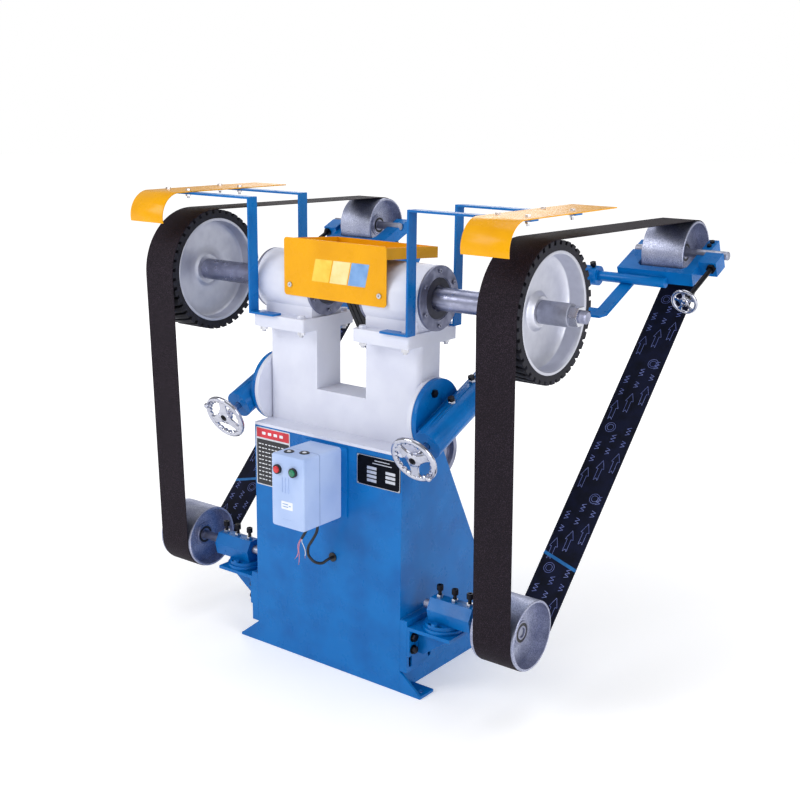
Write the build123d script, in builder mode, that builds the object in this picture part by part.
from build123d import *
from math import atan2, cos, degrees, hypot, radians, sin, sqrt, tan
import os

# Double-ended abrasive belt grinder on a pedestal. Millimetres, +Z up, +X to the right station, the operator's
# side at -Y. The origin is on the floor, in the middle of the four holding-down holes.

# ---- pedestal -------------------------------------------------------------------------------------------------
PED_W = 522.0            # width of the welded sheet pedestal
PED_H = 664.0            # floor to the top plate
PED_TOP_D = 175.0        # depth of the top
PED_BOT_D = 528.0        # depth at the floor, the rear wall slopes
PED_T = 6.0              # sheet
FOOT_OUT = 70.0          # foot plate beyond the side
FOOT_D = 62.0            # foot plate along Y
FOOT_T = 8.0
FOOT_HOLE = 14.0         # holding-down hole, diameter
FOOT_HOLE_OUT = 51.0     # hole centre beyond the side
FOOT_HOLE_IN = 30.0      # hole centre behind the front edge
GUSSET_H = 54.0
# ---- yoke -----------------------------------------------------------------------------------------------------
YOKE_W = 526.0           # over the two columns
YOKE_D = 100.0           # depth of the columns
YOKE_BASE_T = 8.0        # base flange
YOKE_GAP_W = 172.0       # free width between the columns
YOKE_WALL = 14.0         # casting wall
GAP_FLOOR_Z = 780.0      # floor of the gap
BOSS_R = 101.0           # round arm boss on each outer side
BOSS_T = 12.0
# ---- spindle and housings -------------------------------------------------------------------------------------
SPINDLE_Z = 1066.0       # spindle height
SPINDLE_IN = 118.0       # spindle behind the front of the pedestal
SHAFT_R = 30.0
HOUSING_R = 85.0
HOUSING_L = 183.0        # casting between its covers
HOUSING_IN = 94.0        # inner end of the casting from the centre plane
HOUSING_FOOT_L = 183.0   # foot flange along X
HOUSING_FOOT_IN = 85.0   # its inner end
HOUSING_FOOT_D = 214.0   # foot flange along Y
HOUSING_FOOT_T = 23.0
SEAT_Z = 957.0           # joint between yoke and housing
SEAT_T = 12.0            # yoke top flange
COVER_T = 9.0
BEARING_W = 24.0
BEARING_R = 62.0
RUN = 0.05               # running clearance of a shaft in its bearing, radial
# ---- contact wheels -------------------------------------------------------------------------------------------
STATION_X = 571.0        # middle of the wheel
WHEEL_R = 175.0
WHEEL_W = 112.0
TYRE_R = 151.0           # aluminium rim, outside
TEETH = 40
TOOTH_H = 11.0           # depth of a serration
SLOT_W = 9.0             # width of a serration
SLANT = 16.0             # lean of a serration from the axle, degrees
NUT_AF = 46.0
# ---- abrasive belts and drums ---------------------------------------------------------------------------------
BELT_W = 110.0
BELT_T = 1.6
BELT_GAP = 0.4           # belt clear of wheel and lower drum
BELT_GAP_IDLER = 1.4     # belt clear of the idler, which tilts
DRUM_R = 92.0
DRUM_W = 128.0
DRUM_WALL = 6.0
HUB_R = 36.0
AXLE_R = 12.5
DRUM_X = 570.0           # middle of the lower drum
DRUM_IN = 59.0           # lower drum axle behind the front of the pedestal
DRUM_Z = 253.0
IDLER_X = 565.0          # middle of the idler
# ---- tension arm ----------------------------------------------------------------------------------------------
ARM_X = 332.0            # arm axis from the centre plane
ARM_IN = 98.0            # pivot of the arm behind the front of the pedestal
ARM_Z = 746.5
ARM_TILT = 24.0          # degrees above the horizontal, rearwards
SOCKET_R = 40.0          # outer tube
SOCKET_T = 6.0
SOCKET_FROM, SOCKET_TO = -98.0, 240.0
SLIDE_R = 33.6           # inner tube
SLIDE_T = 4.0
SLIDE_FROM = -10.0
HEAD_S = 771.0           # cross tube along the arm
HEAD_R = 29.0
CROSS_R = 15.0
IDLER_S = 900.0          # idler axle along the arm
IDLER_H = 27.0           # idler axle above the arm axis
TENSION_TRAVEL = 60.0    # the idler draws in by this much to free the belt
ARM_FLANGE_R = 100.0
ARM_FLANGE_T = 15.0
HANDWHEEL_S = -152.0
HANDWHEEL_R = 68.0
TRACK_X = 706.0          # tracking screw from the centre plane
TRACK_S = 648.0          # its handwheel
TRACK_R = 38.0
# ---- motor and V-belts ----------------------------------------------------------------------------------------
MOTOR_IN = 457.0 + 14.0  # motor shaft behind the front of the pedestal
MOTOR_Z = 532.0
PULLEY_X = 32.0          # middle of both pulleys
PULLEY_W = 50.0
MOTOR_PULLEY_R = 78.0
SPINDLE_PULLEY_R = 52.0
GROOVES = 3
GROOVE_PITCH = 15.0
BELT_DEEP = 9.0          # V-belt below the pulley's rim
BELT_PROUD = 2.0         # and above it
MOTOR_R = 104.0
MOTOR_L = 279.0
# ---- guards ---------------------------------------------------------------------------------------------------
GUARD_IN, GUARD_OUT = 498.0, 629.0
GUARD_Z = 1298.0         # underside of the plate
GUARD_T = 3.0
GUARD_FRONT, GUARD_REAR = -45.0, 402.0   # flat part, from the front of the pedestal
LIP_RUN, LIP_DROP = 56.0, 80.0
STRAP_W, STRAP_T = 34.0, 6.0
STRAP_HALF = 103.0       # straps before and behind the spindle
BELTGUARD_X = 8.0        # its middle
BELTGUARD_W = 350.0
BELTGUARD_T = 2.5
# ---- starter --------------------------------------------------------------------------------------------------
BOX_W, BOX_D, BOX_H = 114.0, 150.0, 200.0
BOX_X, BOX_Z = 3.0, 455.0
PLATE_T = 5.0

FRONT = -PED_BOT_D / 2
SPINDLE_Y = FRONT + SPINDLE_IN
DRUM_Y = FRONT + DRUM_IN
ARM_Y = FRONT + ARM_IN
MOTOR_Y = FRONT + MOTOR_IN
TILT_C, TILT_S = cos(radians(ARM_TILT)), sin(radians(ARM_TILT))
HALF = PED_W / 2
MIRROR = Plane.YZ


def along(s, h):
    """Y and Z of a point of the arm, s along it and h above its axis."""
    return ARM_Y + s * TILT_C - h * TILT_S, ARM_Z + s * TILT_S + h * TILT_C


def section(s):
    """Plane square to the arm: local x is X, local y is up from the arm. Extrude by a minus amount to go rearwards."""
    y, z = along(s, 0)
    return Plane(origin=(0, y, z), x_dir=(1, 0, 0), z_dir=(0, -TILT_C, -TILT_S))


def flat(h):
    """Plane lying along the arm at height h: local x is X, local y is the way along the arm."""
    y, z = along(0, h)
    return Plane(origin=(0, y, z), x_dir=(1, 0, 0), z_dir=(0, -TILT_S, TILT_C))


IDLER_Y, IDLER_Z = along(IDLER_S, IDLER_H)
os.makedirs("parts", exist_ok=True)


def save(made, label):
    made.part.label = label
    export_step(made.part, f"parts/{label}.step")


def facing(origin, normal):
    """Plane at a point with the given outward normal, its local y as upright as it can be."""
    sideways = (0, 1, 0) if normal[0] else (1, 0, 0)
    return Plane(origin=origin, x_dir=sideways, z_dir=normal)


def bolt(plane, head_af, head_h, shank_r, shank_l, washer_r=0.0, washer_t=0.0):
    """Hex bolt seated at the origin of the plane, head along its normal, shank the other way."""
    with BuildSketch(plane.offset(washer_t)) as head:
        RegularPolygon(head_af / 2, 6, major_radius=False)
    extrude(head.sketch, amount=head_h)
    if washer_r:
        with BuildSketch(plane) as washer:
            Circle(washer_r)
        extrude(washer.sketch, amount=washer_t)
    with BuildSketch(plane.offset(washer_t)) as shank:
        Circle(shank_r)
    extrude(shank.sketch, amount=-(shank_l + washer_t))


def disc(x, y, z, radius, width, mode=Mode.ADD):
    """Cylinder along X, from x to x + width."""
    with BuildSketch(Plane.YZ.offset(x)) as round_:
        with Locations((y, z)):
            Circle(radius)
    extrude(round_.sketch, amount=width, mode=mode)


def box(x0, x1, y0, y1, z0, z1, mode=Mode.ADD):
    """Block between two corners."""
    with BuildSketch(Plane.XY.offset(z0)) as base:
        with Locations(((x0 + x1) / 2, (y0 + y1) / 2)):
            Rectangle(x1 - x0, y1 - y0)
    extrude(base.sketch, amount=z1 - z0, mode=mode)


# ======== pedestal =============================================================================================
GROMMET_X, GROMMET_Z, GROMMET_R = 27.0, 334.0, 9.0
REAR_LEAN = degrees(atan2(PED_BOT_D - PED_TOP_D, PED_H))      # rear wall from the vertical


def rear_plane(z, out=0.0):
    """Plane on the outside of the rear wall at height z: local x is X, local y runs up the wall."""
    y = FRONT + PED_BOT_D - z * tan(radians(REAR_LEAN))
    base = Plane(origin=(0, y, z), x_dir=(-1, 0, 0), z_dir=(0, cos(radians(REAR_LEAN)), sin(radians(REAR_LEAN))))
    return base.offset(out)


MOTOR_PLATE_Z = MOTOR_Z - 108.0
COLUMN_Y0 = SPINDLE_Y - YOKE_D / 2
YOKE_BOLTS = [(200.0, COLUMN_Y0 + y) for y in (YOKE_WALL / 2, YOKE_D - YOKE_WALL / 2)]
with BuildPart() as pedestal:
    with BuildSketch(Plane.YZ.offset(-HALF)) as side:
        with BuildLine():
            Polyline((FRONT, 0), (FRONT, PED_H), (FRONT + PED_TOP_D, PED_H), (FRONT + PED_BOT_D, 0), close=True)
        make_face()
    extrude(amount=PED_W)
    with BuildSketch(Plane.YZ.offset(-HALF + PED_T)) as hollow:
        slope = PED_T / cos(radians(REAR_LEAN))
        with BuildLine():
            Polyline(
                (FRONT + PED_T, PED_T), (FRONT + PED_T, PED_H - PED_T),
                (FRONT + PED_TOP_D - slope + PED_T * tan(radians(REAR_LEAN)), PED_H - PED_T),
                (FRONT + PED_BOT_D - slope - PED_T * tan(radians(REAR_LEAN)), PED_T), close=True)
        make_face()
    extrude(amount=PED_W - 2 * PED_T, mode=Mode.SUBTRACT)
    with BuildSketch(Plane.XZ.offset(-FRONT)) as cable_hole:
        with Locations((GROMMET_X, GROMMET_Z)):
            Circle(GROMMET_R)
    extrude(amount=-PED_T, mode=Mode.SUBTRACT)
    with BuildSketch(Plane.XY.offset(PED_H)) as top_holes:
        with Locations(*[(sx * x, y) for sx in (-1, 1) for x, y in YOKE_BOLTS]):
            Circle(5.3)
    extrude(amount=-PED_T, mode=Mode.SUBTRACT)
save(pedestal, "pedestal")

with BuildPart() as feet:
    for rear in (0, 1):
        y0 = FRONT if not rear else -FRONT - FOOT_D
        hole_y = FRONT + FOOT_HOLE_IN if not rear else -FRONT - FOOT_HOLE_IN
        box(HALF, HALF + FOOT_OUT, y0, y0 + FOOT_D, 0, FOOT_T)
        with Locations((HALF + FOOT_HOLE_OUT, hole_y, FOOT_T)):
            Hole(FOOT_HOLE / 2, FOOT_T + 1)
        gusset_y = FRONT if not rear else -FRONT - FOOT_T
        with BuildSketch(Plane.XZ.offset(-gusset_y)):
            with BuildLine():
                Polyline((HALF, FOOT_T), (HALF + FOOT_OUT - 2, FOOT_T), (HALF, FOOT_T + GUSSET_H), close=True)
            make_face()
        extrude(amount=-FOOT_T)
    mirror(about=MIRROR)
save(feet, "floor_feet")

# ======== slotted plates, shelves and lower drum mounts ========================================================
SLOT_PLATE_T = 23.0
SLOT_PLATE_D = 132.0
SLOT_PLATE_Z0, SLOT_PLATE_Z1 = 63.0, 213.0
SLOT_FIRST, SLOT_SPAN = 18.0, 87.0      # first slot behind the front, and the two slots apart
SLOT_FROM, SLOT_TO = 76.0, 190.0
SLOT_HALF = 6.3
FACE_X = HALF + SLOT_PLATE_T
SHELF_T = 10.0
SHELF_TOP = 198.0
SHELF_OUT = 421.0
SHELF_D = 122.0
BACK_T = 8.0
SHELF_BOLT_Z = (130.0, 165.0)
DISC_X = 362.0
DISC_R = 56.0
DISC_T = 10.0
BLOCK_X0, BLOCK_X1 = 328.0, 462.0
BLOCK_D = 66.0
BLOCK_TOP = 282.0
SET_SCREW_X = (348.0, 396.0, 443.0)
SLOTS_Y = (FRONT + SLOT_FIRST, FRONT + SLOT_FIRST + SLOT_SPAN)

with BuildPart() as slot_plates:
    box(HALF, FACE_X, FRONT, FRONT + SLOT_PLATE_D, SLOT_PLATE_Z0, SLOT_PLATE_Z1)
    box(HALF, FACE_X - 6, FRONT + 6, FRONT + SLOT_PLATE_D - 6, SLOT_PLATE_Z0 + 6, SLOT_PLATE_Z1 - 6, Mode.SUBTRACT)
    with BuildSketch(Plane.YZ.offset(FACE_X)) as slots:
        with Locations(*[(y, (SLOT_FROM + SLOT_TO) / 2) for y in SLOTS_Y]):
            SlotOverall(SLOT_TO - SLOT_FROM, 2 * SLOT_HALF, rotation=90)
    extrude(amount=-7, mode=Mode.SUBTRACT)
    mirror(about=MIRROR)
save(slot_plates, "side_slot_plates")

SHELF_BOLTS = [(y, z) for y in SLOTS_Y for z in SHELF_BOLT_Z]
DISC_BOLT_R = 43.0
DISC_BOLTS = [(DISC_X, DRUM_Y + side * DISC_BOLT_R) for side in (-1, 1)]
with BuildPart() as shelves:
    y0 = FRONT + (SLOT_FIRST + SLOT_SPAN / 2) - SHELF_D / 2
    box(FACE_X, SHELF_OUT, y0, y0 + SHELF_D, SHELF_TOP - SHELF_T, SHELF_TOP)
    box(FACE_X, FACE_X + BACK_T, y0, y0 + SHELF_D, 112, SHELF_TOP - SHELF_T)
    for gy in (FRONT + SLOT_FIRST + 20, FRONT + SLOT_FIRST + SLOT_SPAN - 28):
        with BuildSketch(Plane.XZ.offset(-gy)):
            with BuildLine():
                Polyline((FACE_X + BACK_T, SHELF_TOP - SHELF_T), (FACE_X + BACK_T, 114),
                         (FACE_X + BACK_T + 20, 114), (SHELF_OUT - 6, SHELF_TOP - SHELF_T), close=True)
            make_face()
        extrude(amount=-8)
    with BuildSketch(Plane.YZ.offset(FACE_X + BACK_T)) as holes:
        with Locations(*SHELF_BOLTS):
            Circle(6.3)
    extrude(amount=-BACK_T, mode=Mode.SUBTRACT)
    with BuildSketch(Plane.XY.offset(SHELF_TOP)) as disc_holes:
        with Locations(*DISC_BOLTS):
            Circle(5.3)
    extrude(amount=-SHELF_T, mode=Mode.SUBTRACT)
    mirror(about=MIRROR)
save(shelves, "drum_shelves")

with BuildPart() as shelf_bolts:
    for y, z in SHELF_BOLTS:
        bolt(facing((FACE_X + BACK_T, y, z), (1, 0, 0)), 19, 8, 6, BACK_T + 6 + 8, 13, 2.5)
    mirror(about=MIRROR)
save(shelf_bolts, "shelf_bolts")

with BuildPart() as swivel_discs:
    for n, radius in enumerate((DISC_R, DISC_R - 6)):
        with BuildSketch(Plane.XY.offset(SHELF_TOP + n * DISC_T)):
            with Locations((DISC_X, DRUM_Y)):
                Circle(radius)
            if n == 0:
                with Locations(*DISC_BOLTS):
                    Circle(5.3, mode=Mode.SUBTRACT)
            else:
                # the block swivels by these slots
                for middle in (-90, 90):
                    with BuildLine() as way:
                        CenterArc((DISC_X, DRUM_Y), DISC_BOLT_R, middle - 24, 48)
                    SlotArc(way.edge(), 10.6, mode=Mode.SUBTRACT)
        extrude(amount=DISC_T)
    mirror(about=MIRROR)
save(swivel_discs, "swivel_discs")

BLOCK_Z0 = SHELF_TOP + 2 * DISC_T
with BuildPart() as blocks:
    with BuildSketch(Plane.YZ.offset(BLOCK_X0)) as block_face:
        with BuildLine():
            Polyline((DRUM_Y - BLOCK_D / 2, DRUM_Z - 1), (DRUM_Y - BLOCK_D / 4, BLOCK_TOP),
                     (DRUM_Y + BLOCK_D / 4, BLOCK_TOP), (DRUM_Y + BLOCK_D / 2, DRUM_Z - 1),
                     (DRUM_Y + BLOCK_D / 2 - 8, BLOCK_Z0), (DRUM_Y - BLOCK_D / 2 + 8, BLOCK_Z0), close=True)
        make_face()
    extrude(amount=BLOCK_X1 - BLOCK_X0)
    disc(BLOCK_X0 - 1, DRUM_Y, DRUM_Z, AXLE_R + RUN, BLOCK_X1 - BLOCK_X0 + 2, Mode.SUBTRACT)
    with BuildSketch(Plane.XY.offset(BLOCK_TOP)) as tapped:
        with Locations(*[(x, DRUM_Y) for x in SET_SCREW_X]):
            Circle(5.3)
    extrude(amount=-(BLOCK_TOP - DRUM_Z), mode=Mode.SUBTRACT)
    mirror(about=MIRROR)
save(blocks, "drum_blocks")

with BuildPart() as lock_nuts:
    with BuildSketch(Plane.XY.offset(BLOCK_TOP)):
        with Locations(*[(x, DRUM_Y) for x in SET_SCREW_X]):
            RegularPolygon(8, 6, major_radius=False)
            Circle(5.3, mode=Mode.SUBTRACT)
    extrude(amount=8)
    mirror(about=MIRROR)
save(lock_nuts, "block_lock_nuts")

with BuildPart() as set_screws:
    tip = DRUM_Z + AXLE_R + 0.1
    with BuildSketch(Plane.XY.offset(tip)):
        with Locations(*[(x, DRUM_Y) for x in SET_SCREW_X]):
            Circle(5)
    extrude(amount=BLOCK_TOP + 20 - tip)
    with BuildSketch(Plane.XY.offset(BLOCK_TOP + 20)):
        with Locations(*[(x, DRUM_Y) for x in SET_SCREW_X]):
            Circle(9)
    extrude(amount=15)
    mirror(about=MIRROR)
save(set_screws, "block_set_screws")

# the same bolt holds the discs on their shelves and the yoke on the pedestal top, there from below
with BuildPart() as m10_bolts:
    for x, y in DISC_BOLTS:
        bolt(facing((x, y, BLOCK_Z0), (0, 0, 1)), 16, 7, 5, 2 * DISC_T + SHELF_T + 3)
    for x, y in YOKE_BOLTS:
        bolt(facing((x, y, PED_H - PED_T), (0, 0, -1)), 16, 7, 5, 2 * DISC_T + SHELF_T + 3)
    mirror(about=MIRROR)
save(m10_bolts, "m10_bolts")

AXLE_END = DRUM_X + DRUM_W / 2 - 34
AXLE_OUT = 26.0                          # axle beyond the inner end of its block
with BuildPart() as axles:
    disc(BLOCK_X0 - AXLE_OUT, DRUM_Y, DRUM_Z, AXLE_R, AXLE_END - BLOCK_X0 + AXLE_OUT)
    chamfer(axles.edges().filter_by(GeomType.CIRCLE), 1.5)
    mirror(about=MIRROR)
save(axles, "drum_axles")


def drum(centre_x, y, z):
    """Drum turning about X: rim, two webs and a hub running on its axle."""
    half, web_out, web_in = DRUM_W / 2, DRUM_W / 2 - 36, DRUM_W / 2 - 45
    with BuildPart() as made:
        disc(centre_x - half, y, z, DRUM_R, DRUM_W)
        disc(centre_x - half, y, z, DRUM_R - DRUM_WALL, DRUM_W, Mode.SUBTRACT)
        for a in (-web_out, web_in):
            disc(centre_x + a, y, z, DRUM_R - DRUM_WALL, web_out - web_in)
        disc(centre_x - web_out - 3, y, z, HUB_R, 2 * web_out + 6)
        disc(centre_x - half, y, z, AXLE_R + RUN, DRUM_W, Mode.SUBTRACT)
        rims = made.edges().filter_by(GeomType.CIRCLE).filter_by(lambda e: e.radius > DRUM_R - 0.1)
        chamfer(rims, 1.2)
    return made


right_lower = drum(DRUM_X, DRUM_Y, DRUM_Z)
save(right_lower, "right_lower_drum")
with BuildPart() as left_lower:
    mirror(right_lower.part, about=MIRROR)
save(left_lower, "left_lower_drum")

# ======== yoke =================================================================================================
SEAT_BOLTS = [(HOUSING_FOOT_IN + a, SPINDLE_Y + b) for a in (22, HOUSING_FOOT_L - 22) for b in (-90, 90)]
FLANGE_X0 = YOKE_W / 2 + BOSS_T          # seat of the arm flange
PIVOT_Y, PIVOT_Z = SPINDLE_Y, ARM_Z - (ARM_Y - SPINDLE_Y) * TILT_S / TILT_C
with BuildPart() as yoke:
    box(-HALF, HALF, FRONT, FRONT + PED_TOP_D, PED_H, PED_H + YOKE_BASE_T)
    with BuildSketch(Plane.XY.offset(PED_H + YOKE_BASE_T)) as body:
        with Locations((0, SPINDLE_Y)):
            RectangleRounded(YOKE_W, YOKE_D, 16)
    extrude(amount=SEAT_Z - SEAT_T - PED_H - YOKE_BASE_T)
    with BuildSketch(Plane.XY.offset(SEAT_Z - SEAT_T)) as seats:
        with Locations((HOUSING_FOOT_IN + HOUSING_FOOT_L / 2, SPINDLE_Y)):
            RectangleRounded(HOUSING_FOOT_L, HOUSING_FOOT_D, 6)
    extrude(amount=SEAT_T)
    mirror(about=MIRROR)
    box(-YOKE_GAP_W / 2, YOKE_GAP_W / 2, COLUMN_Y0 - 60, COLUMN_Y0 + YOKE_D + 60, GAP_FLOOR_Z, SEAT_Z + 1, Mode.SUBTRACT)
    for sx in (-1, 1):
        x0 = YOKE_W / 2 - 1 if sx > 0 else -FLANGE_X0
        disc(x0, PIVOT_Y, PIVOT_Z, BOSS_R, BOSS_T + 1)
    # cores, closed by the base flange
    box(-YOKE_W / 2 + YOKE_WALL, YOKE_W / 2 - YOKE_WALL, COLUMN_Y0 + YOKE_WALL, COLUMN_Y0 + YOKE_D - YOKE_WALL,
        PED_H + YOKE_BASE_T, GAP_FLOOR_Z - YOKE_WALL, Mode.SUBTRACT)
    for sx in (-1, 1):
        x0, x1 = sorted((sx * (YOKE_GAP_W / 2 + YOKE_WALL), sx * (YOKE_W / 2 - YOKE_WALL)))
        box(x0, x1, COLUMN_Y0 + YOKE_WALL, COLUMN_Y0 + YOKE_D - YOKE_WALL, GAP_FLOOR_Z - YOKE_WALL,
            SEAT_Z - SEAT_T - 4, Mode.SUBTRACT)
    with BuildSketch(Plane.XY.offset(SEAT_Z)) as seat_holes:
        with Locations(*[(sx * x, y) for sx in (-1, 1) for x, y in SEAT_BOLTS]):
            Circle(6.3)
    extrude(amount=-SEAT_T - 1, mode=Mode.SUBTRACT)
    with BuildSketch(Plane.XY.offset(PED_H)) as base_holes:
        with Locations(*[(sx * x, y) for sx in (-1, 1) for x, y in YOKE_BOLTS]):
            Circle(5.3)
    extrude(amount=YOKE_BASE_T + 24, mode=Mode.SUBTRACT)
save(yoke, "yoke_casting")

# ======== housings, covers, bearings ===========================================================================
HOUSING_OUT = HOUSING_IN + HOUSING_L
SCREW_PCD = 71.0
with BuildPart() as housings:
    with BuildSketch(Plane.XY.offset(SEAT_Z)) as foot:
        with Locations((HOUSING_FOOT_IN + HOUSING_FOOT_L / 2, SPINDLE_Y)):
            RectangleRounded(HOUSING_FOOT_L, HOUSING_FOOT_D, 6)
        with Locations(*SEAT_BOLTS):
            Circle(6.3, mode=Mode.SUBTRACT)
    extrude(amount=HOUSING_FOOT_T)
    box(HOUSING_IN, HOUSING_FOOT_IN + HOUSING_FOOT_L - 6, SPINDLE_Y - 62, SPINDLE_Y + 62, SEAT_Z + HOUSING_FOOT_T,
        SPINDLE_Z)
    disc(HOUSING_IN, SPINDLE_Y, SPINDLE_Z, HOUSING_R, HOUSING_L)
    disc(HOUSING_IN, SPINDLE_Y, SPINDLE_Z, SHAFT_R + 8, HOUSING_L, Mode.SUBTRACT)
    for x in (HOUSING_IN, HOUSING_OUT - BEARING_W):
        disc(x, SPINDLE_Y, SPINDLE_Z, BEARING_R, BEARING_W, Mode.SUBTRACT)
    with BuildSketch(Plane.YZ.offset(HOUSING_IN)) as tapped_ends:
        with Locations((SPINDLE_Y, SPINDLE_Z)):
            with PolarLocations(SCREW_PCD, 6, start_angle=30):
                Circle(3.3)
    extrude(amount=HOUSING_L, mode=Mode.SUBTRACT)
    mirror(about=MIRROR)
save(housings, "bearing_housings")

with BuildPart() as covers:
    for x, recess in ((HOUSING_IN - COVER_T, HOUSING_IN - COVER_T), (HOUSING_OUT, HOUSING_OUT + COVER_T - 3)):
        disc(x, SPINDLE_Y, SPINDLE_Z, HOUSING_R, COVER_T)
        disc(recess, SPINDLE_Y, SPINDLE_Z, 56, 3, Mode.SUBTRACT)
        disc(x, SPINDLE_Y, SPINDLE_Z, SHAFT_R + 3, COVER_T, Mode.SUBTRACT)
        with BuildSketch(Plane.YZ.offset(x)):
            with Locations((SPINDLE_Y, SPINDLE_Z)):
                with PolarLocations(SCREW_PCD, 6, start_angle=30):
                    Circle(3.3)
        extrude(amount=COVER_T, mode=Mode.SUBTRACT)
    mirror(about=MIRROR)
save(covers, "bearing_covers")

with BuildPart() as bearings:
    for x in (HOUSING_IN, HOUSING_OUT - BEARING_W):
        disc(x, SPINDLE_Y, SPINDLE_Z, BEARING_R, BEARING_W)
        disc(x, SPINDLE_Y, SPINDLE_Z, SHAFT_R + RUN, BEARING_W, Mode.SUBTRACT)
    mirror(about=MIRROR)
save(bearings, "spindle_bearings")

with BuildPart() as seat_bolts:
    for x, y in SEAT_BOLTS:
        bolt(facing((x, y, SEAT_Z + HOUSING_FOOT_T), (0, 0, 1)), 19, 8, 6, HOUSING_FOOT_T + SEAT_T + 16)
        with BuildSketch(Plane.XY.offset(SEAT_Z - SEAT_T)):
            with Locations((x, y)):
                RegularPolygon(9.5, 6, major_radius=False)
        extrude(amount=-10)
    mirror(about=MIRROR)
save(seat_bolts, "housing_bolts")

# ======== spindle ==============================================================================================
WHEEL_IN, WHEEL_OUT = STATION_X - WHEEL_W / 2, STATION_X + WHEEL_W / 2
WEB_IN, WEB_OUT = STATION_X - 12.0, STATION_X + 4.0
HUB_FACE = STATION_X + 18.0
NECK_X = WEB_IN - 6.0                    # shoulder the hub sits against
NECK_R = 22.0
RIM_R = TYRE_R - 8.0                     # inside of the rim
NUT_X, NUT_T = 672.0, 24.0
SHAFT_END = 714.0
with BuildPart() as shaft:
    disc(-NECK_X, SPINDLE_Y, SPINDLE_Z, SHAFT_R, 2 * NECK_X)
    disc(-NUT_X, SPINDLE_Y, SPINDLE_Z, NECK_R, 2 * NUT_X)
    disc(-SHAFT_END, SPINDLE_Y, SPINDLE_Z, NUT_AF * 0.33, 2 * SHAFT_END)
    ends = shaft.edges().filter_by(GeomType.CIRCLE).filter_by(lambda e: abs(e.center().X) > SHAFT_END - 1)
    chamfer(ends, 2)
save(shaft, "spindle_shaft")


def grooved_pulley(y, z, radius, bore):
    """Pulley with V grooves, turned about X."""
    x0, root = PULLEY_X - PULLEY_W / 2, radius - BELT_DEEP - 3
    disc(x0, y, z, radius, PULLEY_W)
    for k in range(GROOVES):
        xc = PULLEY_X + (k - (GROOVES - 1) / 2) * GROOVE_PITCH
        with BuildSketch(Plane.XY.offset(z)) as vee:
            with BuildLine() as cut:
                Polyline((xc - 6.4, y + radius + 1), (xc - 4, y + root), (xc + 4, y + root),
                         (xc + 6.4, y + radius + 1), close=True)
            make_face(cut.edges())
        revolve(vee.sketch, axis=Axis((0, y, z), (1, 0, 0)), mode=Mode.SUBTRACT)
    disc(x0, y, z, bore, PULLEY_W, Mode.SUBTRACT)


with BuildPart() as spindle_pulley:
    grooved_pulley(SPINDLE_Y, SPINDLE_Z, SPINDLE_PULLEY_R, SHAFT_R)
save(spindle_pulley, "spindle_pulley")

with BuildPart() as hubs:
    with BuildSketch(Plane.XY.offset(SPINDLE_Z)) as half_section:
        with BuildLine():
            Polyline(
                (WEB_IN - 6, SPINDLE_Y + NECK_R), (HUB_FACE, SPINDLE_Y + NECK_R), (HUB_FACE, SPINDLE_Y + 38),
                (WEB_OUT, SPINDLE_Y + 50), (WEB_OUT + 3, SPINDLE_Y + RIM_R - 13), (WEB_OUT + 10, SPINDLE_Y + RIM_R - 3),
                (WHEEL_OUT, SPINDLE_Y + RIM_R), (WHEEL_OUT, SPINDLE_Y + TYRE_R), (WHEEL_IN, SPINDLE_Y + TYRE_R),
                (WHEEL_IN, SPINDLE_Y + RIM_R), (WEB_IN - 10, SPINDLE_Y + RIM_R - 3), (WEB_IN - 3, SPINDLE_Y + RIM_R - 13),
                (WEB_IN, SPINDLE_Y + 54), (WEB_IN - 6, SPINDLE_Y + 42), close=True)
        make_face()
    revolve(axis=Axis((0, SPINDLE_Y, SPINDLE_Z), (1, 0, 0)))
    mirror(about=MIRROR)
save(hubs, "contact_wheel_hubs")

with BuildPart() as tyres:
    disc(WHEEL_IN, SPINDLE_Y, SPINDLE_Z, WHEEL_R, WHEEL_W)
    disc(WHEEL_IN, SPINDLE_Y, SPINDLE_Z, TYRE_R, WHEEL_W, Mode.SUBTRACT)
    for k in range(TEETH):
        a, lean = radians(360.0 * k / TEETH), radians(SLANT)
        bottom = WHEEL_R - TOOTH_H
        slot_plane = Plane(
            origin=(STATION_X, SPINDLE_Y + bottom * cos(a), SPINDLE_Z + bottom * sin(a)),
            x_dir=(cos(lean), -sin(lean) * sin(a), sin(lean) * cos(a)), z_dir=(0, cos(a), sin(a)))
        with BuildSketch(slot_plane) as slot:
            Rectangle(WHEEL_W + 60, SLOT_W)
        extrude(slot.sketch, amount=TOOTH_H + 6, mode=Mode.SUBTRACT)
    mirror(about=MIRROR)
save(tyres, "contact_wheel_tyres")

with BuildPart() as spacers:
    disc(HUB_FACE, SPINDLE_Y, SPINDLE_Z, 29, NUT_X - HUB_FACE)
    disc(HUB_FACE, SPINDLE_Y, SPINDLE_Z, NECK_R, NUT_X - HUB_FACE, Mode.SUBTRACT)
    chamfer(spacers.edges().filter_by(GeomType.CIRCLE).filter_by(lambda e: e.radius > 28), 1.5)
    mirror(about=MIRROR)
save(spacers, "wheel_spacers")

with BuildPart() as nuts:
    with BuildSketch(Plane.YZ.offset(NUT_X)):
        with Locations((SPINDLE_Y, SPINDLE_Z)):
            RegularPolygon(NUT_AF / 2, 6, major_radius=False)
            Circle(NUT_AF * 0.33, mode=Mode.SUBTRACT)
    extrude(amount=NUT_T)
    mirror(about=MIRROR)
save(nuts, "wheel_nuts")


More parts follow.
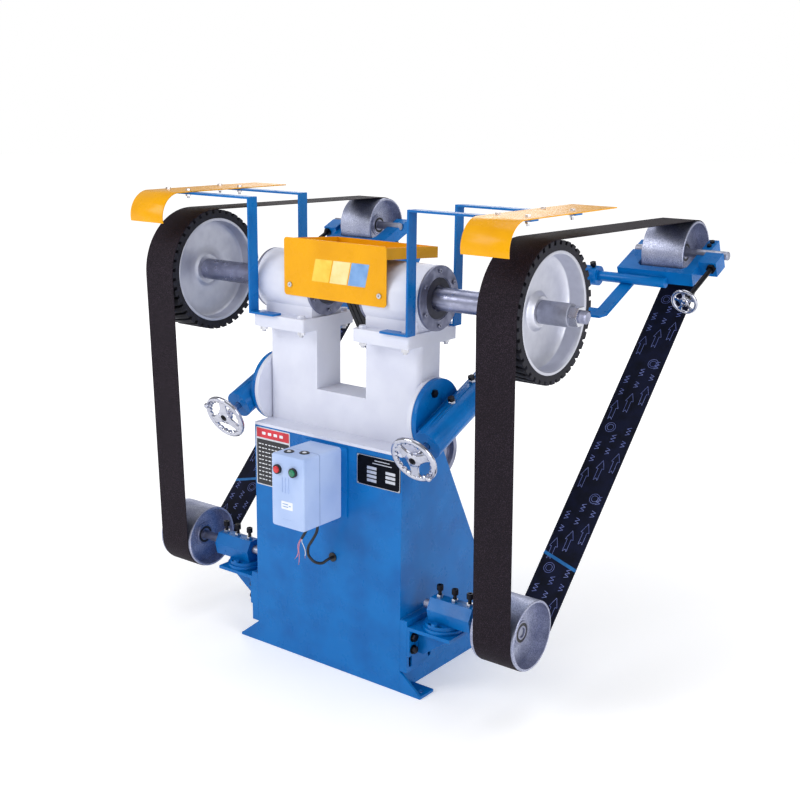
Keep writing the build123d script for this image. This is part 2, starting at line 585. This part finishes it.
# ======== belts ================================================================================================
def loop_face(circles):
    """Outline of a belt stretched round circles, each (y, z, radius), in order anticlockwise."""
    n = len(circles)
    legs = []
    for i in range(n):
        (ay, az, ar), (by, bz, br) = circles[i], circles[(i + 1) % n]
        span = hypot(by - ay, bz - az)
        ahead = degrees(atan2(bz - az, by - ay))
        lean = degrees(atan2((ar - br) / span, sqrt(1 - ((ar - br) / span) ** 2)))
        out = radians(ahead - 90 + lean)
        legs.append(((ay + ar * cos(out), az + ar * sin(out)), (by + br * cos(out), bz + br * sin(out)), out))
    with BuildLine() as loop:
        for i in range(n):
            cy, cz, r = circles[i]
            a0, a1 = degrees(legs[i - 1][2]), degrees(legs[i][2])
            mid = radians(a0 + ((a1 - a0) % 360) / 2)
            Line(legs[i][0], legs[i][1])
            ThreePointArc(legs[i - 1][1], (cy + r * cos(mid), cz + r * sin(mid)), legs[i][0])
    make_face(loop.edges())


def belt(x0, width, circles, thick):
    with BuildSketch(Plane.YZ.offset(x0)) as outer:
        loop_face([(y, z, r + thick) for y, z, r in circles])
    extrude(outer.sketch, amount=width)
    with BuildSketch(Plane.YZ.offset(x0)) as inner:
        loop_face(circles)
    extrude(inner.sketch, amount=width, mode=Mode.SUBTRACT)


BELT_ROUTE = [
    (IDLER_Y, IDLER_Z, DRUM_R + BELT_GAP_IDLER), (SPINDLE_Y, SPINDLE_Z, WHEEL_R + BELT_GAP),
    (DRUM_Y, DRUM_Z, DRUM_R + BELT_GAP)]
with BuildPart() as right_belt:
    belt(STATION_X - BELT_W / 2, BELT_W, BELT_ROUTE, BELT_T)
save(right_belt, "right_abrasive_belt")
with BuildPart() as left_belt:
    mirror(right_belt.part, about=MIRROR)
save(left_belt, "left_abrasive_belt")

with BuildPart() as v_belts:
    for k in range(GROOVES):
        xc = PULLEY_X + (k - (GROOVES - 1) / 2) * GROOVE_PITCH
        for half, below, above in ((4.2, BELT_DEEP, 0.3 - BELT_DEEP / 3), (5.3, BELT_DEEP / 3, BELT_PROUD)):
            route = [(MOTOR_Y, MOTOR_Z, MOTOR_PULLEY_R - below), (SPINDLE_Y, SPINDLE_Z, SPINDLE_PULLEY_R - below)]
            belt(xc - half, 2 * half, route, below + above)
save(v_belts, "v_belts")

# ======== motor ================================================================================================
BELT_END = PULLEY_X - PULLEY_W / 2
SHAFT_MOTOR_R = 14.0
MOTOR_X1 = BELT_END - 26.0
with BuildPart() as motor:
    disc(MOTOR_X1 - MOTOR_L, MOTOR_Y, MOTOR_Z, MOTOR_R - 8, MOTOR_L)
    disc(MOTOR_X1 - 22, MOTOR_Y, MOTOR_Z, MOTOR_R, 14)
    disc(MOTOR_X1 - MOTOR_L, MOTOR_Y, MOTOR_Z, MOTOR_R - 2, 62)
    fins = Plane(origin=(MOTOR_X1 - MOTOR_L + 66, MOTOR_Y, MOTOR_Z), x_dir=(0, 1, 0), z_dir=(1, 0, 0))
    with BuildSketch(fins):
        with PolarLocations(MOTOR_R - 6, 32):
            Rectangle(10, 3)
    extrude(amount=MOTOR_L - 92)
    disc(MOTOR_X1 - 40, MOTOR_Y, MOTOR_Z, SHAFT_MOTOR_R + RUN, 41, Mode.SUBTRACT)
save(motor, "motor_body")

with BuildPart() as motor_pulley:
    grooved_pulley(MOTOR_Y, MOTOR_Z, MOTOR_PULLEY_R, SHAFT_MOTOR_R - 1)
    disc(BELT_END + PULLEY_W - 14, MOTOR_Y, MOTOR_Z, 62, 14, Mode.SUBTRACT)
    disc(BELT_END + PULLEY_W - 14, MOTOR_Y, MOTOR_Z, 28, 12)
    disc(MOTOR_X1 - 38, MOTOR_Y, MOTOR_Z, SHAFT_MOTOR_R, BELT_END + PULLEY_W - MOTOR_X1 + 38)
save(motor_pulley, "motor_pulley")

# the motor stands on rails up the sloping rear wall
WALL_GAP = (MOTOR_Y - rear_plane(MOTOR_Z).origin.Y) * cos(radians(REAR_LEAN))
BASE_T = 10.0
MOTOR_MID = MOTOR_X1 - MOTOR_L / 2 - 10
with BuildPart() as motor_base:
    lean = rear_plane(MOTOR_Z + WALL_GAP * sin(radians(REAR_LEAN)))
    normal = lean.z_dir
    for off in (-62, 62):
        centre = Vector(MOTOR_MID + off, MOTOR_Y, MOTOR_Z)
        rail = Plane(origin=centre - normal * WALL_GAP, x_dir=(1, 0, 0), z_dir=normal)
        with BuildSketch(rail):
            Rectangle(30, 240)
        extrude(amount=WALL_GAP - MOTOR_R - BASE_T)
        saddle = Plane(origin=centre - normal * (MOTOR_R + BASE_T), x_dir=(1, 0, 0), z_dir=normal)
        with BuildSketch(saddle):
            Rectangle(44, 190)
        extrude(amount=BASE_T)
        with BuildSketch(saddle.offset(BASE_T)):
            Rectangle(44, 130)
        extrude(amount=MOTOR_R * 0.55)
    disc(MOTOR_X1 - MOTOR_L - 5, MOTOR_Y, MOTOR_Z, MOTOR_R - 0.5, MOTOR_L + 10, Mode.SUBTRACT)
save(motor_base, "motor_base")

# ======== tension arms =========================================================================================
ARM_BOLT_R = 70.0
ARM_BOLTS = [(PIVOT_Y + ARM_BOLT_R * cos(radians(a)), PIVOT_Z + ARM_BOLT_R * sin(radians(a))) for a in (110, 270, 318)]
LOCK_S = (40.0, 140.0)                   # lock screws of the slide, along the arm
TUBE_IN = ARM_X - SOCKET_R
with BuildPart() as sockets:
    disc(FLANGE_X0, PIVOT_Y, PIVOT_Z, ARM_FLANGE_R, ARM_FLANGE_T)
    with BuildSketch(section(SOCKET_FROM)) as tube:
        with Locations((ARM_X, 0)):
            Circle(SOCKET_R)
    extrude(amount=-(SOCKET_TO - SOCKET_FROM))
    # saddle that joins the tube to its flange
    with BuildSketch(section(-70)) as saddle:
        with Locations(((FLANGE_X0 + ARM_X) / 2, 0)):
            Rectangle(ARM_X - FLANGE_X0, 44)
    extrude(amount=-150)
    with BuildSketch(section(SOCKET_FROM)) as bore:
        with Locations((ARM_X, 0)):
            Circle(SOCKET_R - SOCKET_T)
    extrude(amount=-(SOCKET_TO - SOCKET_FROM), mode=Mode.SUBTRACT)
    with BuildSketch(section(SOCKET_FROM)) as end_cap:
        with Locations((ARM_X, 0)):
            Circle(SOCKET_R - SOCKET_T)
            Circle(10 + RUN, mode=Mode.SUBTRACT)
    extrude(amount=-12)
    with BuildSketch(Plane.YZ.offset(FLANGE_X0)) as bolt_holes:
        with Locations(*ARM_BOLTS):
            Circle(6.3)
    extrude(amount=ARM_FLANGE_T, mode=Mode.SUBTRACT)
    with BuildSketch(flat(SOCKET_R - SOCKET_T - 2)) as lock_holes:
        with Locations(*[(ARM_X, s) for s in LOCK_S]):
            Circle(5.3)
    extrude(amount=SOCKET_T + 4, mode=Mode.SUBTRACT)
    mirror(about=MIRROR)
save(sockets, "arm_sockets")

# the bosses take the flange bolts
with BuildPart() as arm_bolts:
    for y, z in ARM_BOLTS:
        bolt(facing((FLANGE_X0 + ARM_FLANGE_T, y, z), (1, 0, 0)), 19, 8, 6, ARM_FLANGE_T - 0.2)
    for s in LOCK_S:
        y, z = along(s, SOCKET_R)
        seat = Plane(origin=(ARM_X, y, z), x_dir=(1, 0, 0), z_dir=(0, -TILT_S, TILT_C))
        bolt(seat.offset(7), 17, 9, 5, 12)
    mirror(about=MIRROR)
save(arm_bolts, "arm_bolts")


def handwheel(plane, rim_r, rim_t, hub_r, hub_l, spokes, spoke_w):
    """Three-spoke handwheel in the plane: a round rim, flat spokes and a hub."""
    turn = Plane(origin=plane.origin, x_dir=plane.x_dir, z_dir=plane.y_dir)
    with BuildSketch(turn) as rim:
        with Locations((rim_r - rim_t / 2, 0)):
            Circle(rim_t / 2)
    revolve(rim.sketch, axis=Axis(plane.origin, plane.z_dir))
    with BuildSketch(plane.offset(-hub_l / 2)) as hub:
        Circle(hub_r)
    extrude(hub.sketch, amount=hub_l)
    for k in range(spokes):
        a = radians(360.0 * k / spokes + 20)
        outward = plane.x_dir * cos(a) + plane.y_dir * sin(a)
        turned = Plane(origin=plane.origin, x_dir=outward, z_dir=plane.z_dir)
        with BuildSketch(turned.offset(-3)) as spoke:
            with Locations(((hub_r - 4 + rim_r - rim_t / 2) / 2, 0)):
                Rectangle(rim_r - rim_t / 2 - hub_r + 4, spoke_w)
        extrude(spoke.sketch, amount=6)


def at_arm(x, s, h):
    """Plane square to the arm with its origin at (x, s, h)."""
    y, z = along(s, h)
    return Plane(origin=(x, y, z), x_dir=(1, 0, 0), z_dir=(0, -TILT_C, -TILT_S))


SCREW_R = 9.0
SCREW_END = 300.0
with BuildPart() as right_wheel:
    handwheel(at_arm(ARM_X, HANDWHEEL_S, 0), HANDWHEEL_R, 15, 17, 30, 3, 20)
    with BuildSketch(at_arm(ARM_X, HANDWHEEL_S + 10, 0)) as screw:
        Circle(10)
    extrude(amount=-(SOCKET_FROM + 14 - HANDWHEEL_S - 10))
    with BuildSketch(at_arm(ARM_X, SOCKET_FROM + 12.4, 0)) as collar:
        Circle(16)
    extrude(amount=-8)
    with BuildSketch(at_arm(ARM_X, SOCKET_FROM + 20, 0)) as thread:
        Circle(SCREW_R)
    extrude(amount=-(SCREW_END - SOCKET_FROM - 20))
    knob_y, knob_z = 46 * cos(radians(-42)), 46 * sin(radians(-42))
    with BuildSketch(at_arm(ARM_X, HANDWHEEL_S, 0).offset(3)) as knob:
        with Locations((knob_y + 6, knob_z - 4)):
            Circle(6)
    extrude(amount=12)
save(right_wheel, "right_tension_handwheel")
with BuildPart() as left_wheel:
    mirror(right_wheel.part, about=MIRROR)
save(left_wheel, "left_tension_handwheel")

# sliding tube, its nut, and the head that holds the cross tube
with BuildPart() as right_slide:
    with BuildSketch(at_arm(ARM_X, SLIDE_FROM, 0)) as ring:
        Circle(SLIDE_R)
        Circle(SLIDE_R - SLIDE_T, mode=Mode.SUBTRACT)
    extrude(amount=-(HEAD_S - SLIDE_FROM - 20))
    with BuildSketch(at_arm(ARM_X, SLIDE_FROM, 0)) as slide_nut:
        Circle(SLIDE_R - SLIDE_T)
        Circle(SCREW_R + 0.4, mode=Mode.SUBTRACT)
    extrude(amount=-30)
    with BuildSketch(at_arm(ARM_X, HEAD_S - 40, 0)) as plug:
        Circle(SLIDE_R)
    extrude(amount=-20)
    with BuildSketch(Plane.YZ.offset(ARM_X - 36)) as head:
        with Locations(along(HEAD_S, 0)):
            Circle(HEAD_R)
    extrude(amount=82)
    with BuildSketch(Plane.YZ.offset(ARM_X - 36)) as head_bore:
        with Locations(along(HEAD_S, 0)):
            Circle(CROSS_R)
    extrude(amount=83, mode=Mode.SUBTRACT)
    with BuildSketch(flat(CROSS_R)) as head_tap:
        with Locations((ARM_X + 32, HEAD_S)):
            Circle(5.3)
    extrude(amount=20, mode=Mode.SUBTRACT)
save(right_slide, "right_slide_tube")
with BuildPart() as left_slide:
    mirror(right_slide.part, about=MIRROR)
save(left_slide, "left_slide_tube")

# fork: cross tube, cross bar, two arms, nut block and the bent brace strap
FORK_H0, FORK_H1 = -8.0, 31.0
FORK_S0 = HEAD_S + CROSS_R + 1
BAR_S0, BAR_S1 = 779.0, 803.0
FORK_L0, FORK_L1 = 436.0, 486.0
FORK_R0, FORK_R1 = 638.0, 668.0
ARM_END_S = 975.0
NUT_S0, NUT_S1 = 828.0, 884.0
SCREW_TRACK_R = 7.0
with BuildPart() as right_fork:
    with BuildSketch(Plane.YZ.offset(ARM_X - 36)) as cross:
        with Locations(along(HEAD_S, 0)):
            Circle(CROSS_R)
    extrude(amount=590 - ARM_X + 36)
    with BuildSketch(flat(FORK_H0)) as frame_plan:
        with BuildLine():
            Polyline((FORK_L0, BAR_S0), (FORK_R1, BAR_S0), (FORK_R1, ARM_END_S), (FORK_R0, ARM_END_S),
                     (FORK_R0, BAR_S1 + 12), (FORK_R0 - 12, BAR_S1), (FORK_L1 + 12, BAR_S1), (FORK_L1, BAR_S1 + 12),
                     (FORK_L1, ARM_END_S - 30), (FORK_L0, ARM_END_S - 30), close=True)
        make_face()
    extrude(amount=FORK_H1 - FORK_H0)
    with BuildSketch(flat(0)) as nut_block:
        with Locations(((FORK_R1 + TRACK_X + 14) / 2, (NUT_S0 + NUT_S1) / 2)):
            Rectangle(TRACK_X + 14 - FORK_R1, NUT_S1 - NUT_S0)
    extrude(amount=44)
    # open seats of the idler axle: a round one at the left, a short slot at the right
    with BuildSketch(Plane.YZ.offset(FORK_L0 - 1)) as seat_left:
        with Locations(along(IDLER_S, IDLER_H)):
            Circle(AXLE_R + 0.6)
    extrude(amount=FORK_L1 - FORK_L0 + 2, mode=Mode.SUBTRACT)
    with BuildSketch(flat(IDLER_H)) as seat_mouths:
        with Locations(((FORK_L0 + FORK_L1) / 2, IDLER_S)):
            Rectangle(FORK_L1 - FORK_L0 + 2, 2 * AXLE_R + 1.2)
        with Locations(((FORK_R0 + FORK_R1) / 2, IDLER_S)):
            Rectangle(FORK_R1 - FORK_R0 + 2, 2 * AXLE_R + 5)
    extrude(amount=20, mode=Mode.SUBTRACT)
    with BuildSketch(flat(IDLER_H - AXLE_R - 0.6)) as seat_slot:
        with Locations(((FORK_R0 + FORK_R1) / 2, IDLER_S)):
            Rectangle(FORK_R1 - FORK_R0 + 2, 2 * AXLE_R + 5)
    extrude(amount=AXLE_R + 1, mode=Mode.SUBTRACT)
    with BuildSketch(at_arm(TRACK_X, NUT_S0 - 1, IDLER_H)) as threaded:
        Circle(SCREW_TRACK_R + RUN)
    extrude(amount=-(NUT_S1 - NUT_S0 + 2), mode=Mode.SUBTRACT)
    # brace strap, bent flat, from the sliding tube to the underside of the cross tube
    strap_h = -CROSS_R - 5
    with BuildSketch(flat(strap_h)) as strap:
        with BuildLine():
            Polyline((ARM_X + 10, 584), (470, 584), (486, 600), (486, 792), (448, 792), (448, 622), (ARM_X + 10, 622),
                     close=True)
        make_face()
    extrude(amount=8)
    with BuildSketch(at_arm(ARM_X, 570, 0)) as round_off:
        Circle(SLIDE_R)
    extrude(amount=-60, mode=Mode.SUBTRACT)
    with BuildSketch(flat(FORK_H1)) as end_holes:
        with Locations((FORK_R0 + 15, 938), (FORK_R0 + 15, 960)):
            Circle(4.3)
    extrude(amount=-20, mode=Mode.SUBTRACT)
save(right_fork, "right_idler_fork")
with BuildPart() as left_fork:
    mirror(right_fork.part, about=MIRROR)
save(left_fork, "left_idler_fork")

with BuildPart() as right_fasteners:
    y, z = along(HEAD_S, HEAD_R)
    seat = Plane(origin=(ARM_X + 32, y, z), x_dir=(1, 0, 0), z_dir=(0, -TILT_S, TILT_C))
    bolt(seat.offset(6), 17, 9, 5, 19.8)
    for s in (938, 960):
        y, z = along(s, FORK_H1)
        seat = Plane(origin=(FORK_R0 + 15, y, z), x_dir=(1, 0, 0), z_dir=(0, -TILT_S, TILT_C))
        bolt(seat, 13, 6, 4, 18)
    with BuildSketch(at_arm(TRACK_X, NUT_S0, IDLER_H)) as jam:
        RegularPolygon(12, 6, major_radius=False)
        Circle(SCREW_TRACK_R + RUN, mode=Mode.SUBTRACT)
    extrude(amount=9)
save(right_fasteners, "right_fork_fasteners")
with BuildPart() as left_fasteners:
    mirror(right_fasteners.part, about=MIRROR)
save(left_fasteners, "left_fork_fasteners")

AXLE_IN, AXLE_OUT = FORK_L0 + 4, 727.0
with BuildPart() as right_axle:
    disc(AXLE_IN, IDLER_Y, IDLER_Z, AXLE_R, AXLE_OUT - AXLE_IN)
    chamfer(right_axle.edges().filter_by(GeomType.CIRCLE), 1.5)
save(right_axle, "right_idler_axle")
with BuildPart() as left_axle:
    mirror(right_axle.part, about=MIRROR)
save(left_axle, "left_idler_axle")

right_idler = drum(IDLER_X, IDLER_Y, IDLER_Z)
save(right_idler, "right_idler_drum")
with BuildPart() as left_idler:
    mirror(right_idler.part, about=MIRROR)
save(left_idler, "left_idler_drum")

TIP_GAP = 2.2
with BuildPart() as right_tracking:
    handwheel(at_arm(TRACK_X, TRACK_S, IDLER_H), TRACK_R, 10, 13, 20, 5, 9)
    with BuildSketch(at_arm(TRACK_X, TRACK_S + 8, IDLER_H)) as rod:
        Circle(SCREW_TRACK_R)
    extrude(amount=-(IDLER_S - AXLE_R - TIP_GAP - TRACK_S - 8))
save(right_tracking, "right_tracking_handwheel")
with BuildPart() as left_tracking:
    mirror(right_tracking.part, about=MIRROR)
save(left_tracking, "left_tracking_handwheel")

# ======== wheel guards and their brackets ======================================================================
GUARD_BOLT_X = (520.0, 602.0)
STRAP_Y = (SPINDLE_Y - STRAP_HALF, SPINDLE_Y + STRAP_HALF)
STRAP_X = HOUSING_FOOT_IN + HOUSING_FOOT_L
FOOT_TOP = SEAT_Z + HOUSING_FOOT_T
with BuildPart() as guards:
    with BuildSketch(Plane.YZ.offset(GUARD_IN)) as profile:
        with BuildLine() as spine:
            bend = 60.0
            Line((FRONT + GUARD_REAR, GUARD_Z), (FRONT + GUARD_FRONT, GUARD_Z))
            ThreePointArc((FRONT + GUARD_FRONT, GUARD_Z), (FRONT + GUARD_FRONT - 36, GUARD_Z - 17),
                          (FRONT + GUARD_FRONT - LIP_RUN, GUARD_Z - LIP_DROP))
            Line((FRONT + GUARD_FRONT - LIP_RUN, GUARD_Z - LIP_DROP),
                 (FRONT + GUARD_FRONT - LIP_RUN - GUARD_T, GUARD_Z - LIP_DROP))
            ThreePointArc((FRONT + GUARD_FRONT - LIP_RUN - GUARD_T, GUARD_Z - LIP_DROP),
                          (FRONT + GUARD_FRONT - 38.2, GUARD_Z - 14.6),
                          (FRONT + GUARD_FRONT, GUARD_Z + GUARD_T))
            Line((FRONT + GUARD_FRONT, GUARD_Z + GUARD_T), (FRONT + GUARD_REAR, GUARD_Z + GUARD_T))
            Line((FRONT + GUARD_REAR, GUARD_Z + GUARD_T), (FRONT + GUARD_REAR, GUARD_Z))
        make_face()
    extrude(amount=GUARD_OUT - GUARD_IN)
    with BuildSketch(Plane.XY.offset(GUARD_Z)) as guard_holes:
        with Locations(*[(x, y) for x in GUARD_BOLT_X for y in STRAP_Y]):
            Circle(4.3)
    extrude(amount=GUARD_T, mode=Mode.SUBTRACT)
    mirror(about=MIRROR)
save(guards, "wheel_guards")

STRAP_END = GUARD_OUT - 8
FOOT_IN = 84.0
with BuildPart() as brackets:
    for y in STRAP_Y:
        with BuildSketch(Plane.XZ.offset(-y + STRAP_W / 2)) as bent:
            with BuildLine():
                Polyline(
                    (STRAP_X - FOOT_IN, FOOT_TOP), (STRAP_X + STRAP_T, FOOT_TOP), (STRAP_X + STRAP_T, GUARD_Z - STRAP_T),
                    (STRAP_END, GUARD_Z - STRAP_T), (STRAP_END, GUARD_Z), (STRAP_X, GUARD_Z),
                    (STRAP_X, FOOT_TOP + STRAP_T), (STRAP_X - FOOT_IN, FOOT_TOP + STRAP_T), close=True)
            make_face()
        extrude(amount=-STRAP_W)
    with BuildSketch(Plane.XY.offset(FOOT_TOP)) as over_bolts:
        with Locations(*SEAT_BOLTS):
            Circle(12.5)
    extrude(amount=STRAP_T, mode=Mode.SUBTRACT)
    with BuildSketch(Plane.XY.offset(GUARD_Z - STRAP_T)) as strap_holes:
        with Locations(*[(x, y) for x in GUARD_BOLT_X for y in STRAP_Y]):
            Circle(4.3)
    extrude(amount=STRAP_T, mode=Mode.SUBTRACT)
    mirror(about=MIRROR)
save(brackets, "guard_brackets")

with BuildPart() as guard_bolts:
    for x in GUARD_BOLT_X:
        for y in STRAP_Y:
            bolt(facing((x, y, GUARD_Z + GUARD_T), (0, 0, 1)), 13, 5.5, 4, GUARD_T + STRAP_T + 12)
            with BuildSketch(Plane.XY.offset(GUARD_Z - STRAP_T)):
                with Locations((x, y)):
                    RegularPolygon(6.5, 6, major_radius=False)
            extrude(amount=-6)
    mirror(about=MIRROR)
save(guard_bolts, "guard_bolts")

# ======== spindle belt guard ===================================================================================
BG_FRONT = SPINDLE_Y - HOUSING_R - 3.0          # back of the front panel
BG_REAR = SPINDLE_Y + 134.0
BG_X0, BG_X1 = BELTGUARD_X - BELTGUARD_W / 2, BELTGUARD_X + BELTGUARD_W / 2
BG_TOP, BG_BOTTOM = 1197.0, 1041.0              # front panel
TRAY_H = 30.0
TRAY_FALL = 15.0                                # the tray falls towards the rear
TRAY_Z = SPINDLE_Z + HOUSING_R + 13.0           # underside of the tray at the panel
BG_SCREWS = [(BELTGUARD_X + sx * (BELTGUARD_W / 2 - 22), BG_BOTTOM + 29) for sx in (-1, 1)]


def tray_side(y1, lift, height):
    """Side view of the tray from the panel to y1, lifted above its underside."""
    fall = TRAY_FALL * (y1 - BG_FRONT) / (BG_REAR - BG_FRONT)
    Polyline((BG_FRONT, TRAY_Z + lift), (y1, TRAY_Z + lift - fall), (y1, TRAY_Z + height - fall),
             (BG_FRONT, TRAY_Z + height), close=True)


with BuildPart() as belt_guard:
    with BuildSketch(Plane.XZ.offset(-BG_FRONT)) as panel:
        with Locations((BELTGUARD_X, (BG_TOP + BG_BOTTOM) / 2)):
            RectangleRounded(BELTGUARD_W, BG_TOP - BG_BOTTOM, 10)
        with Locations(*BG_SCREWS):
            Circle(4.3, mode=Mode.SUBTRACT)
    extrude(amount=BELTGUARD_T)
    with BuildSketch(Plane.YZ.offset(BG_X0)) as outside:
        with BuildLine() as outer_line:
            tray_side(BG_REAR, 0, TRAY_H)
        make_face(outer_line.edges())
    extrude(outside.sketch, amount=BELTGUARD_W)
    with BuildSketch(Plane.YZ.offset(BG_X0 + BELTGUARD_T)) as inside:
        with BuildLine() as inner_line:
            tray_side(BG_REAR - BELTGUARD_T, BELTGUARD_T, TRAY_H + 10)
        make_face(inner_line.edges())
    extrude(inside.sketch, amount=BELTGUARD_W - 2 * BELTGUARD_T, mode=Mode.SUBTRACT)
save(belt_guard, "belt_guard")

with BuildPart() as cover_screws:
    for x, sign in ((HOUSING_IN - COVER_T, -1), (HOUSING_OUT + COVER_T, 1)):
        face = Plane(origin=(x, SPINDLE_Y, SPINDLE_Z), x_dir=(0, 1, 0), z_dir=(sign, 0, 0))
        with BuildSketch(face):
            with PolarLocations(SCREW_PCD, 6, start_angle=30 if sign > 0 else -30):
                Circle(6.5)
        extrude(amount=4.5)
        with BuildSketch(face):
            with PolarLocations(SCREW_PCD, 6, start_angle=30 if sign > 0 else -30):
                Circle(3.1)
        extrude(amount=-24)
    mirror(about=MIRROR)
    for x, z in BG_SCREWS:
        face = Plane(origin=(x, BG_FRONT - BELTGUARD_T, z), x_dir=(1, 0, 0), z_dir=(0, -1, 0))
        with BuildSketch(face):
            Circle(7)
        extrude(amount=4)
        with BuildSketch(face):
            Circle(4)
        extrude(amount=-BELTGUARD_T - 2)
save(cover_screws, "cover_screws")

# ======== starter ==============================================================================================
BOX_FRONT = FRONT - PLATE_T - BOX_D
BUTTONS = [("stop", BOX_X - 33, 614.0), ("start", BOX_X + 22, 614.0)]
BUTTON_R = 9.5
COLLAR_R = 13.0
BUTTON_TRAVEL = 3.0
with BuildPart() as box_plate:
    box(BOX_X - 77, BOX_X + 77, FRONT - PLATE_T, FRONT, BOX_Z + 4, BOX_Z + BOX_H + 2)
    fillet(box_plate.edges().filter_by(Axis.Y), 6)
save(box_plate, "starter_plate")

with BuildPart() as starter:
    box(BOX_X - BOX_W / 2, BOX_X + BOX_W / 2, BOX_FRONT, FRONT - PLATE_T, BOX_Z, BOX_Z + BOX_H)
    fillet(starter.edges().filter_by(Axis.Y), 8)
    fillet(starter.faces().sort_by(Axis.Y)[0].edges(), 5)
    with BuildSketch(Plane.XZ.offset(-FRONT + PLATE_T)) as inside:
        with Locations((BOX_X, BOX_Z + BOX_H / 2)):
            RectangleRounded(BOX_W - 6, BOX_H - 6, 5)
    extrude(amount=BOX_D - 3, mode=Mode.SUBTRACT)
    with BuildSketch(Plane.XZ.offset(-BOX_FRONT)) as button_holes:
        with Locations(*[(x, z) for _, x, z in BUTTONS]):
            Circle(COLLAR_R - 1.5)
    extrude(amount=-4, mode=Mode.SUBTRACT)
    # joint line of the lid
    with BuildSketch(Plane.XZ.offset(-BOX_FRONT - 62)) as joint_line:
        with Locations((BOX_X, BOX_Z + BOX_H / 2)):
            Rectangle(BOX_W + 4, BOX_H + 4)
            RectangleRounded(BOX_W - 1.6, BOX_H - 1.6, 7.2, mode=Mode.SUBTRACT)
    extrude(amount=-2, mode=Mode.SUBTRACT)
save(starter, "starter_box")

with BuildPart() as collars:
    for _, x, z in BUTTONS:
        with BuildSketch(Plane.XZ.offset(-BOX_FRONT)):
            with Locations((x, z)):
                Circle(COLLAR_R)
                Circle(BUTTON_R + 0.3, mode=Mode.SUBTRACT)
        extrude(amount=7)
        with BuildSketch(Plane.XZ.offset(-BOX_FRONT)):
            with Locations((x, z)):
                Circle(COLLAR_R - 1.5)
                Circle(BUTTON_R + 0.3, mode=Mode.SUBTRACT)
        extrude(amount=-14)
save(collars, "button_collars")

for label, x, z in BUTTONS:
    with BuildPart() as button:
        with BuildSketch(Plane.XZ.offset(-BOX_FRONT + 11)):
            with Locations((x, z)):
                Circle(BUTTON_R)
        extrude(amount=-22)
        chamfer(button.faces().sort_by(Axis.Y)[0].edges(), 1)
    save(button, f"{label}_button")

with BuildPart() as rating_plate:
    box(112, 257, FRONT - 1.2, FRONT, 566, 650)
    fillet(rating_plate.edges().filter_by(Axis.Y), 3)
save(rating_plate, "rating_plate")

# ======== cables ===============================================================================================
CABLE_R = 4.0
GLAND_AT = (BOX_X + 22, FRONT - 62)
LEAD_AT = (BOX_X + 4, FRONT - 84)
with BuildPart() as glands:
    for gx, gy in (GLAND_AT, LEAD_AT):
        with BuildSketch(Plane.XY.offset(BOX_Z)):
            with Locations((gx, gy)):
                Circle(8)
                Circle(CABLE_R + 0.2, mode=Mode.SUBTRACT)
        extrude(amount=-8)
    with BuildSketch(Plane.XZ.offset(-FRONT)):
        with Locations((GROMMET_X, GROMMET_Z)):
            Circle(GROMMET_R + 4)
            Circle(CABLE_R + 0.2, mode=Mode.SUBTRACT)
    extrude(amount=3)
    with BuildSketch(Plane.XZ.offset(-FRONT)):
        with Locations((GROMMET_X, GROMMET_Z)):
            Circle(GROMMET_R - 0.2)
            Circle(CABLE_R + 0.2, mode=Mode.SUBTRACT)
    extrude(amount=-PED_T)
save(glands, "cable_glands")


def cable(points, radius):
    """Tube along straight runs joined by arcs, each arc as large as its two runs allow."""
    radii = []
    for a, b, c in zip(points, points[1:], points[2:]):
        one, two = Vector(*b) - Vector(*a), Vector(*c) - Vector(*b)
        turn = radians(one.get_angle(two))
        radii.append(0.45 * min(one.length, two.length) / tan(turn / 2))
    with BuildPart() as tube:
        with BuildLine() as route:
            FilletPolyline(*points, radius=radii)
        run = route.wires()[0]
        with BuildSketch(Plane(origin=run @ 0, z_dir=run % 0)):
            Circle(radius)
        sweep(path=run)
    length = run.length
    print("cable radii", [round(r, 1) for r in radii], "length", round(length, 1), "volume ratio",
          round(tube.part.volume / (3.14159265 * radius ** 2 * length), 4))
    return tube


CONTROL_ROUTE = [
    (GLAND_AT[0], GLAND_AT[1], BOX_Z), (GLAND_AT[0], GLAND_AT[1], 427), (GLAND_AT[0] - 13, GLAND_AT[1] - 4, 401),
    (GLAND_AT[0] - 29, GLAND_AT[1] - 7, 376), (GLAND_AT[0] - 36, GLAND_AT[1] + 1, 348),
    (GLAND_AT[0] - 24, GLAND_AT[1] + 13, 327), (GLAND_AT[0] - 6, GLAND_AT[1] + 25, 323),
    (GROMMET_X, FRONT - 20, GROMMET_Z), (GROMMET_X, FRONT + PED_T + 3, GROMMET_Z)]
control = cable(CONTROL_ROUTE, CABLE_R)
save(control, "control_cable")

LEAD_ROUTE = [
    (LEAD_AT[0], LEAD_AT[1], BOX_Z), (LEAD_AT[0], LEAD_AT[1], 436), (LEAD_AT[0] - 7, LEAD_AT[1] - 2, 420),
    (LEAD_AT[0] - 17, LEAD_AT[1] - 3, 405)]
lead = cable(LEAD_ROUTE, CABLE_R)
save(lead, "supply_lead")
